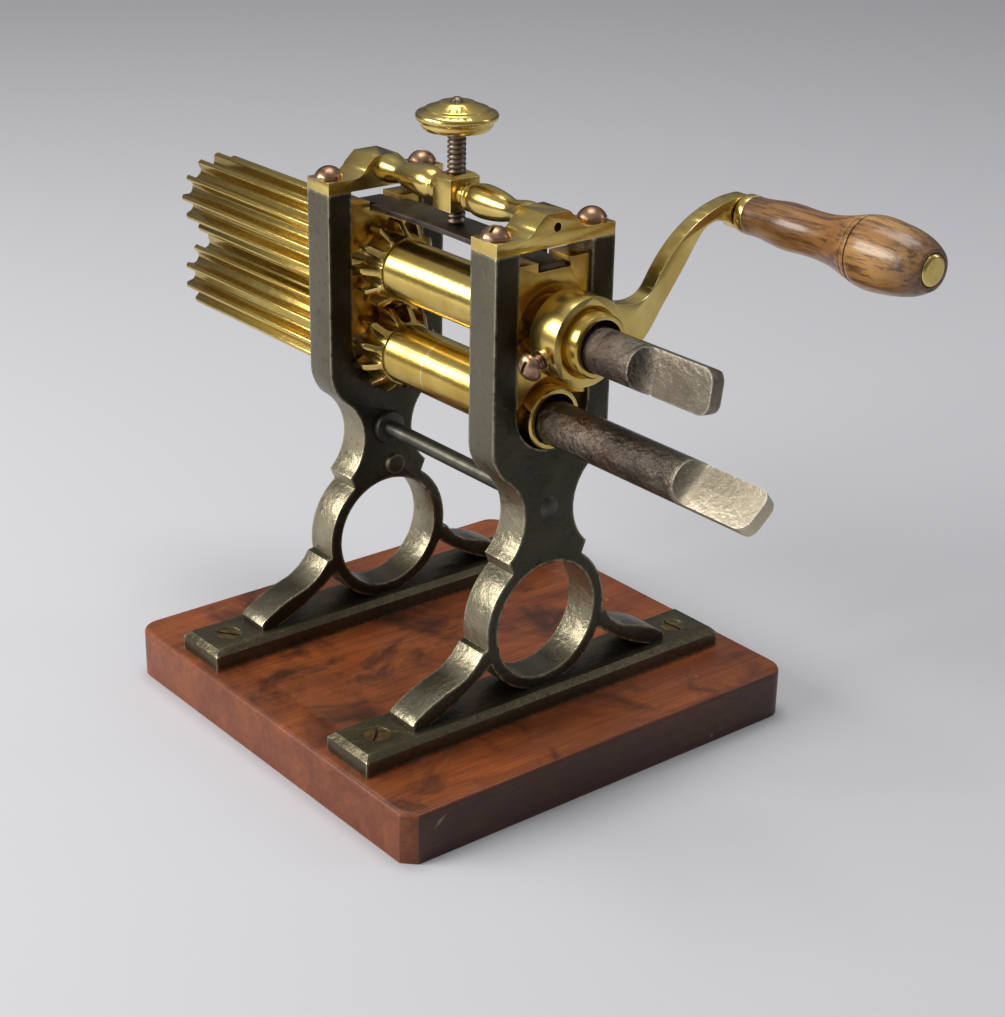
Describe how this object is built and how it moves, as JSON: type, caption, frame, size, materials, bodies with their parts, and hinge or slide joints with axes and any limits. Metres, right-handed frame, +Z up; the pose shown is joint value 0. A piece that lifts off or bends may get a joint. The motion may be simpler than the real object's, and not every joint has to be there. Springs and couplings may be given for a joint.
{
  "type": "hand cranked crimping machine",
  "caption": "Hand-cranked crimping rollers: hollow fluted brass rollers in iron frames on a wooden board, with a sprung pressure screw, a crank and slide-in heater irons",
  "frame": {"origin": "on the underside of the board, midway between the two frames and on the plane through both roller axes", "axes": "+X along the rollers towards the crank and the heater irons, +Y across the board towards the crank's handle, +Z up"},
  "size_m": [0.325, 0.184, 0.2381],
  "materials": {
    "board_wood": "polished mahogany, worn and scratched",
    "frame_iron": "old dark cast iron, worn bright on its edges",
    "foot_screw_brass": "tarnished",
    "stretcher_steel": "dark, worn",
    "block_brass": "aged, partly polished",
    "bridge_brass": "polished",
    "roller_brass": "polished",
    "crank_brass": "polished",
    "cap_screw_steel": "bronzed, polished",
    "thread_steel": "dark, oily",
    "spring_steel": "dark",
    "handle_wood": "varnished, worn",
    "heater_iron": "rough, dark, burnished in places"
  },
  "bodies": {
    "stand": {"base_board": "board_wood", "frame_far": "frame_iron", "frame_near": "frame_iron", "foot_screws": "foot_screw_brass", "stretcher_bar": "stretcher_steel", "middle_block_far": "block_brass", "middle_block_near": "block_brass", "bridge": "bridge_brass", "cap_screws": "cap_screw_steel"},
    "carriage": {"upper_block_far": "block_brass", "upper_block_near": "block_brass", "leaf_spring": "spring_steel"},
    "upper_roll": {"upper_roller": "roller_brass", "crank_arm": "crank_brass", "set_screw": "cap_screw_steel", "handle_spindle": "crank_brass"},
    "lower_roll": {"lower_roller": "roller_brass"},
    "grip": {"crank_handle": "handle_wood", "handle_ferrule": "crank_brass"},
    "upper_iron": {"heater_iron_upper": "heater_iron"},
    "lower_iron": {"heater_iron_lower": "heater_iron"},
    "screw": {"pressure_screw": "thread_steel"},
    "knob": {"screw_knob": "bridge_brass"}
  },
  "joints": [
    {"name": "carriage_lift", "type": "slide", "parent": "stand", "child": "carriage", "axis": [0, 0, 1], "range_m": [0, 0.0015], "stiffness_N_per_m": 20000, "springref_m": -0.002, "deforming": ["leaf_spring"]},
    {"name": "crank_turn", "type": "hinge", "parent": "carriage", "child": "upper_roll", "pos_m": [0, 0, 0.16755], "axis": [1, 0, 0], "range_deg": [-68, 231]},
    {"name": "lower_roll_turn", "type": "hinge", "parent": "stand", "child": "lower_roll", "pos_m": [0, 0, 0.13425], "axis": [1, 0, 0], "range_deg": [-231.5, 68.5]},
    {"name": "grip_turn", "type": "hinge", "parent": "upper_roll", "child": "grip", "pos_m": [0.08, 0.075, 0.20035], "axis": [1, 0, 0], "continuous": true},
    {"name": "upper_iron_slide", "type": "slide", "parent": "carriage", "child": "upper_iron", "axis": [1, 0, 0], "range_m": [0, 0.2385]},
    {"name": "lower_iron_slide", "type": "slide", "parent": "stand", "child": "lower_iron", "axis": [1, 0, 0], "range_m": [-0.022, 0.1915]},
    {"name": "screw_lift", "type": "slide", "parent": "stand", "child": "screw", "axis": [0, 0, 1], "range_m": [0, 0.01]},
    {"name": "knob_turn", "type": "hinge", "parent": "screw", "child": "knob", "pos_m": [0, 0, 0.23], "axis": [0, 0, 1], "range_deg": [0, 2001]}
  ],
  "couplings": [
    {"joint": "lower_roll_turn", "follows": "crank_turn", "ratio": -1},
    {"joint": "knob_turn", "follows": "screw_lift", "rad_per_m": 3490.7}
  ]
}
